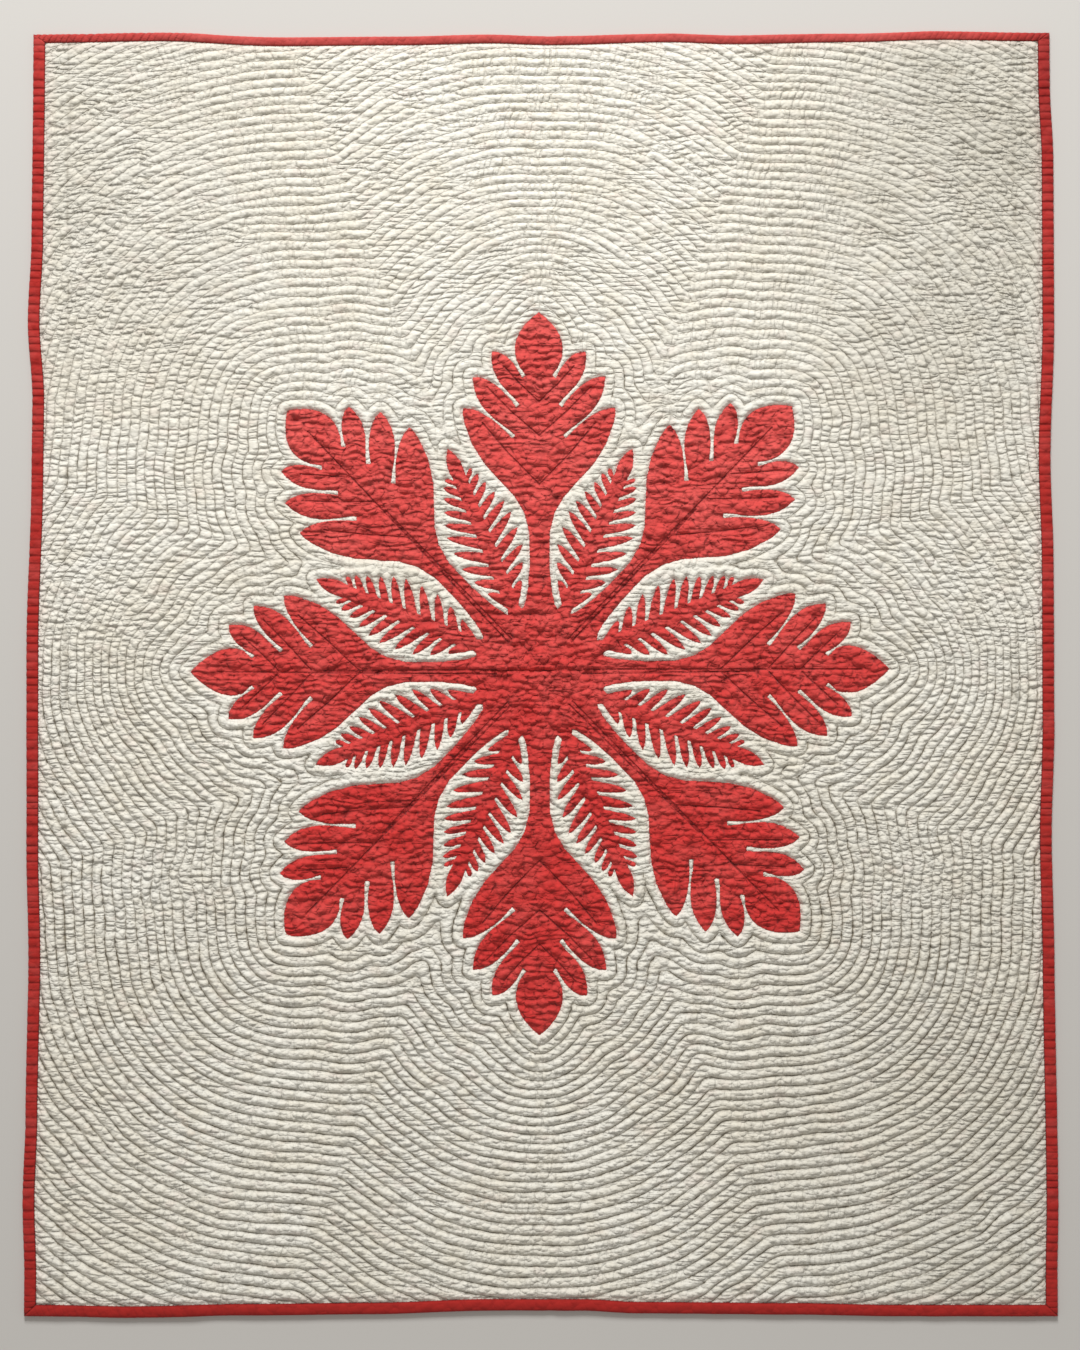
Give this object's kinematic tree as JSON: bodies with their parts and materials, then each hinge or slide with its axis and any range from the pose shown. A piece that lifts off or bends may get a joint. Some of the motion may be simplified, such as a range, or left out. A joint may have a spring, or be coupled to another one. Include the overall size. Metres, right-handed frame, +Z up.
{
  "type": "hawaiian quilt",
  "caption": "Flat echo-quilted hawaiian quilt: white padded ground, one red leaf and fern applique, and a red binding folded round the edges.",
  "frame": {"origin": "on the floor, under the middle of the quilt", "axes": "+X to the right of the quilt, +Y along its length to its top edge, +Z up from the floor to the face"},
  "size_m": [1.0886, 1.3576, 0.0065],
  "materials": {
    "white_cotton": "plain woven cotton, padded and hand quilted, washed and softly creased",
    "red_cotton": "plain woven cotton applique with turned edges, puckered by hand quilting",
    "red_binding": "plain woven cotton strip folded round the edge and sewn down, lightly puckered"
  },
  "bodies": {
    "root": {"quilted_ground": "white_cotton", "applique_motif": "red_cotton", "binding_top": "red_binding", "binding_right": "red_binding", "binding_bottom": "red_binding", "binding_left": "red_binding"}
  },
  "joints": []
}
